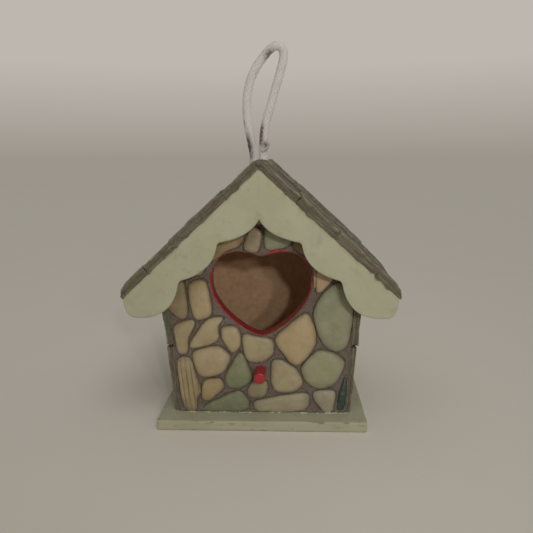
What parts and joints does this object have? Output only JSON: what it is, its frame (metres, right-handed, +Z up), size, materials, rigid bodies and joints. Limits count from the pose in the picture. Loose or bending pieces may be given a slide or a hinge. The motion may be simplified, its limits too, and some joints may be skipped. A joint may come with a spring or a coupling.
{
  "type": "birdhouse",
  "caption": "Small hanging birdhouse with a heart-shaped door, pebble-faced front, stone-clad pitched roof, red perch and cord loop.",
  "frame": {"origin": "on the ground under the middle of the base board", "axes": "+X to the viewer's right, front faces -Y, +Y to the back, +Z up"},
  "size_m": [0.1384, 0.108, 0.2015],
  "materials": {
    "painted_board": "thin MDF or plywood, brush-painted pale sage green, satin",
    "red_paint": "wooden dowel, glossy red paint",
    "mortar": "matt grey-brown mortar",
    "cream_pebble": "tumbled cream pebble, satin",
    "tan_pebble": "tumbled tan pebble, satin",
    "ochre_pebble": "tumbled ochre pebble, satin",
    "green_pebble": "tumbled grey-green pebble, satin",
    "ridged_pebble": "tan stone with parallel grooves, matt",
    "slate_chip": "dark blue-green slate chip, matt",
    "roof_stone": "split brown and olive stone, matt",
    "side_stone": "split olive stone slab, matt",
    "cotton_cord": "off-white braided cotton, matt"
  },
  "bodies": {
    "house": {"back_wall": "painted_board", "base_board": "painted_board", "cord_knot": "cotton_cord", "cord_leg_left": "cotton_cord", "cord_leg_right": "cotton_cord", "front_fascia": "painted_board", "front_mortar": "mortar", "front_wall": "painted_board", "left_roof_board": "painted_board", "left_wall": "painted_board", "pebble_cream_below_heart": "cream_pebble", "pebble_cream_cleft": "cream_pebble", "pebble_cream_foot_right": "cream_pebble", "pebble_cream_large_left": "cream_pebble", "pebble_cream_left_block": "cream_pebble", "pebble_cream_slant": "cream_pebble", "pebble_cream_small_round": "cream_pebble", "pebble_cream_triangle": "cream_pebble", "pebble_green_cleft": "green_pebble", "pebble_green_foot_left": "green_pebble", "pebble_green_gable_left": "green_pebble", "pebble_green_large": "green_pebble", "pebble_green_pointed": "green_pebble", "pebble_green_round_right": "green_pebble", "pebble_ochre_upper_left": "ochre_pebble", "pebble_ochre_upper_right": "ochre_pebble", "pebble_slate_corner": "slate_chip", "pebble_tan_below_perch": "tan_pebble", "pebble_tan_by_perch": "tan_pebble", "pebble_tan_diamond": "tan_pebble", "pebble_tan_foot_long": "tan_pebble", "pebble_tan_gable_top": "tan_pebble", "pebble_tan_left_eave": "tan_pebble", "pebble_tan_left_shoulder": "tan_pebble", "pebble_tan_left_wedge": "tan_pebble", "pebble_tan_ridged": "ridged_pebble", "pebble_tan_right_eave": "tan_pebble", "pebble_tan_small_left": "tan_pebble", "perch": "red_paint", "ridge_mortar_front": "mortar", "ridge_mortar_rear": "mortar", "right_roof_board": "painted_board", "right_wall": "painted_board", "roof_stones_left_eave": "roof_stone", "roof_stones_left_lower": "roof_stone", "roof_stones_left_ridge": "roof_stone", "roof_stones_left_upper": "roof_stone", "roof_stones_right_eave": "roof_stone", "roof_stones_right_lower": "roof_stone", "roof_stones_right_ridge": "roof_stone", "roof_stones_right_upper": "roof_stone", "side_slabs_left_lower": "side_stone", "side_slabs_left_upper": "side_stone", "side_slabs_right_lower": "side_stone", "side_slabs_right_upper": "side_stone"},
    "loop": {"hanging_loop": "cotton_cord"}
  },
  "joints": [
    {"name": "loop_swing", "type": "hinge", "parent": "house", "child": "loop", "pos_m": [-0.00267, 0, 0.1415], "axis": [1, 0, 0], "range_deg": [-75, 75], "stiffness_Nm_per_rad": 0.004}
  ]
}
